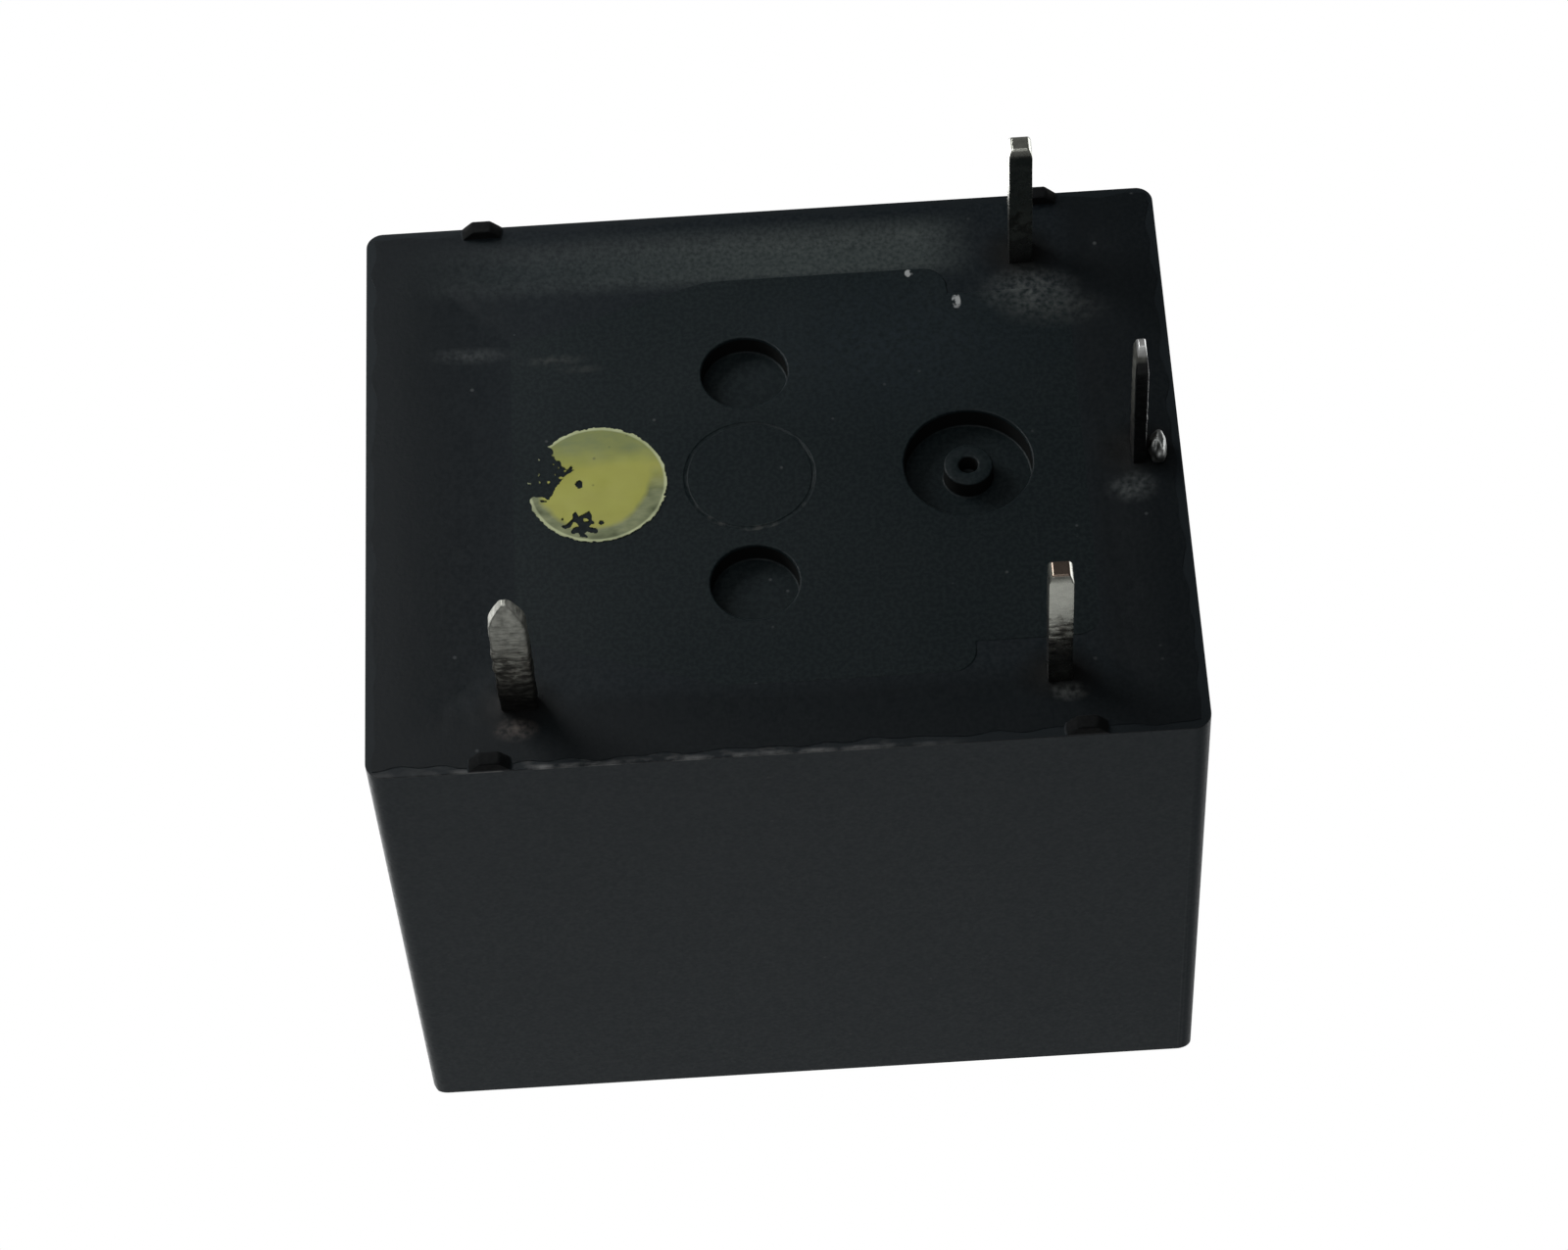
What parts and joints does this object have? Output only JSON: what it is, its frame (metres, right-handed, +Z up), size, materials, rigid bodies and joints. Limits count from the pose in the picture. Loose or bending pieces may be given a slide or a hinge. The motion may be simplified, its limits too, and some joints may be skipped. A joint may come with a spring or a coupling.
{
  "type": "pcb power relay",
  "caption": "Sealed cube-shaped power relay for a circuit board: black moulded cover, resin-sealed base, solder terminals, coil, hinged armature and a make contact.",
  "frame": {"origin": "middle of the body on the board's face, in the plane of the four feet of the cover", "axes": "+Z up out of the board, +X along the body towards the common terminal, +Y across it towards the make contact's terminal"},
  "size_m": [0.019, 0.0154, 0.0195],
  "materials": {
    "cover_plastic": "fine matt moulding, near black",
    "base_plastic": "smooth moulding, near black",
    "resin": "cured sealing resin, satin with hazy patches",
    "yellow_paint": "thin brushed dot, worn at one side",
    "tinned_pin": "tinned, dull, brown at the cut end",
    "tinned_blade": "tinned copper alloy, rippled solder",
    "bobbin_plastic": "moulded",
    "enamelled_copper": "enamelled wire",
    "tape": "polyester tape",
    "iron": "zinc plated soft iron",
    "spring_bronze": "rolled bronze",
    "silver_contact": "silver alloy"
  },
  "bodies": {
    "housing": {"cover": "cover_plastic", "base": "base_plastic", "epoxy_seal": "resin", "paint_mark": "yellow_paint", "coil_terminal_a": "tinned_pin", "coil_terminal_b": "tinned_pin", "com_terminal": "tinned_blade", "no_terminal": "tinned_blade", "bobbin": "bobbin_plastic", "coil_winding": "enamelled_copper", "coil_tape": "tape", "coil_lead_a": "enamelled_copper", "coil_lead_b": "enamelled_copper", "core": "iron", "yoke": "iron", "yoke_rivets": "iron", "fixed_contact": "silver_contact", "back_stop": "spring_bronze"},
    "armature_arm": {"armature": "iron", "armature_rivets": "iron", "contact_spring": "spring_bronze", "moving_contact": "silver_contact"}
  },
  "joints": [
    {"name": "armature_hinge", "type": "hinge", "parent": "housing", "child": "armature_arm", "pos_m": [0.0081, 0, 0.01196], "axis": [0, -1, 0], "range_deg": [0, 3.2], "stiffness_Nm_per_rad": 0.02, "springref_deg": -6.88, "deforming": ["contact_spring"]}
  ]
}
